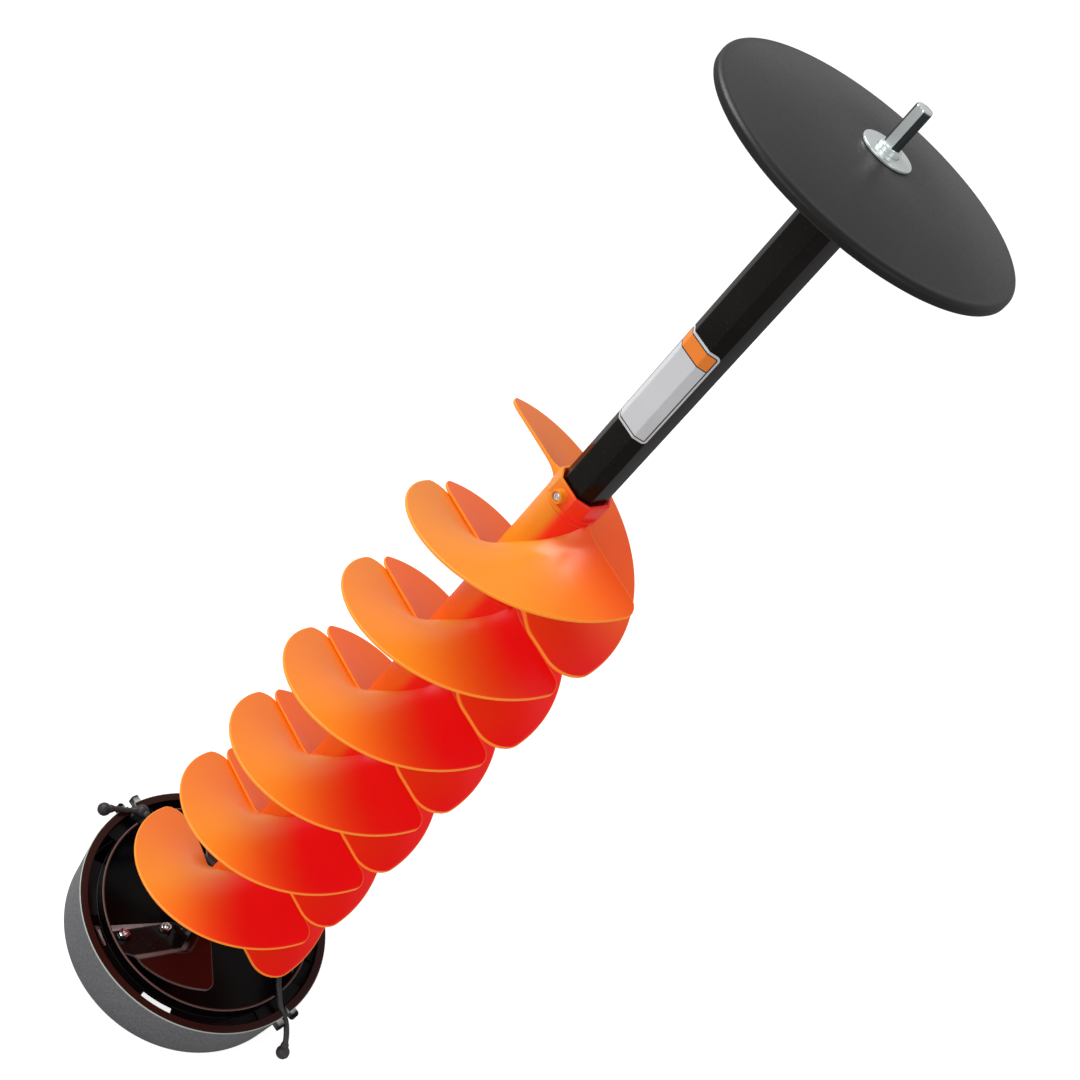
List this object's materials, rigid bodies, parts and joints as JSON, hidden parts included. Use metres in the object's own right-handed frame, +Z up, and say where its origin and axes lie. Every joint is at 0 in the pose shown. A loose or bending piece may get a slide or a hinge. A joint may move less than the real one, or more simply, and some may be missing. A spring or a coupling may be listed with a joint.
{
  "type": "ice auger",
  "caption": "Drill-driven ice auger: two-start half-turn flighting on an octagonal tube, float disc, shouldered shank, bolted cutting head in a ringed blade guard.",
  "frame": {"origin": "middle of the blade guard's underside, on the auger's axis", "axes": "+Z up along the auger to the shank, -Y towards the collar screw"},
  "size_m": [0.2865, 0.2506, 1.0532],
  "materials": {
    "orange_plastic": "glossy moulded orange plastic",
    "black_paint": "gloss black paint on steel",
    "black_plastic": "satin black plastic",
    "grey_plastic": "lightly textured dark grey plastic",
    "rubber": "matt black rubber",
    "steel": "ground cutter steel",
    "zinc": "bright zinc plate"
  },
  "bodies": {
    "guard": {"blade_guard": "grey_plastic", "guard_strap": "rubber"},
    "auger": {"drive_tube": "black_paint", "flight_module_1": "orange_plastic", "flight_module_2": "orange_plastic", "flight_module_3": "orange_plastic", "flight_module_4": "orange_plastic", "flight_module_5": "orange_plastic", "flight_module_6": "orange_plastic", "lock_collar": "orange_plastic", "collar_screw": "zinc", "shank_adapter": "zinc", "disc_washer": "zinc", "head_hub": "black_paint", "centre_point": "steel", "wing_a": "black_paint", "wing_b": "black_paint", "blade_a": "steel", "blade_b": "steel", "blade_bolt_1": "zinc", "blade_bolt_2": "zinc", "blade_bolt_3": "zinc", "blade_bolt_4": "zinc", "blade_nut_1": "zinc", "blade_nut_2": "zinc", "blade_nut_3": "zinc", "blade_nut_4": "zinc"},
    "disc": {"float_disc": "black_plastic"}
  },
  "joints": [
    {"name": "lift_out", "type": "slide", "parent": "guard", "child": "auger", "axis": [0, 0, 1], "range_m": [0, 0.12], "deforming": ["guard_strap"]},
    {"name": "disc_spin", "type": "hinge", "parent": "auger", "child": "disc", "pos_m": [0, 0, 1.0163], "axis": [0, 0, 1], "continuous": true}
  ]
}
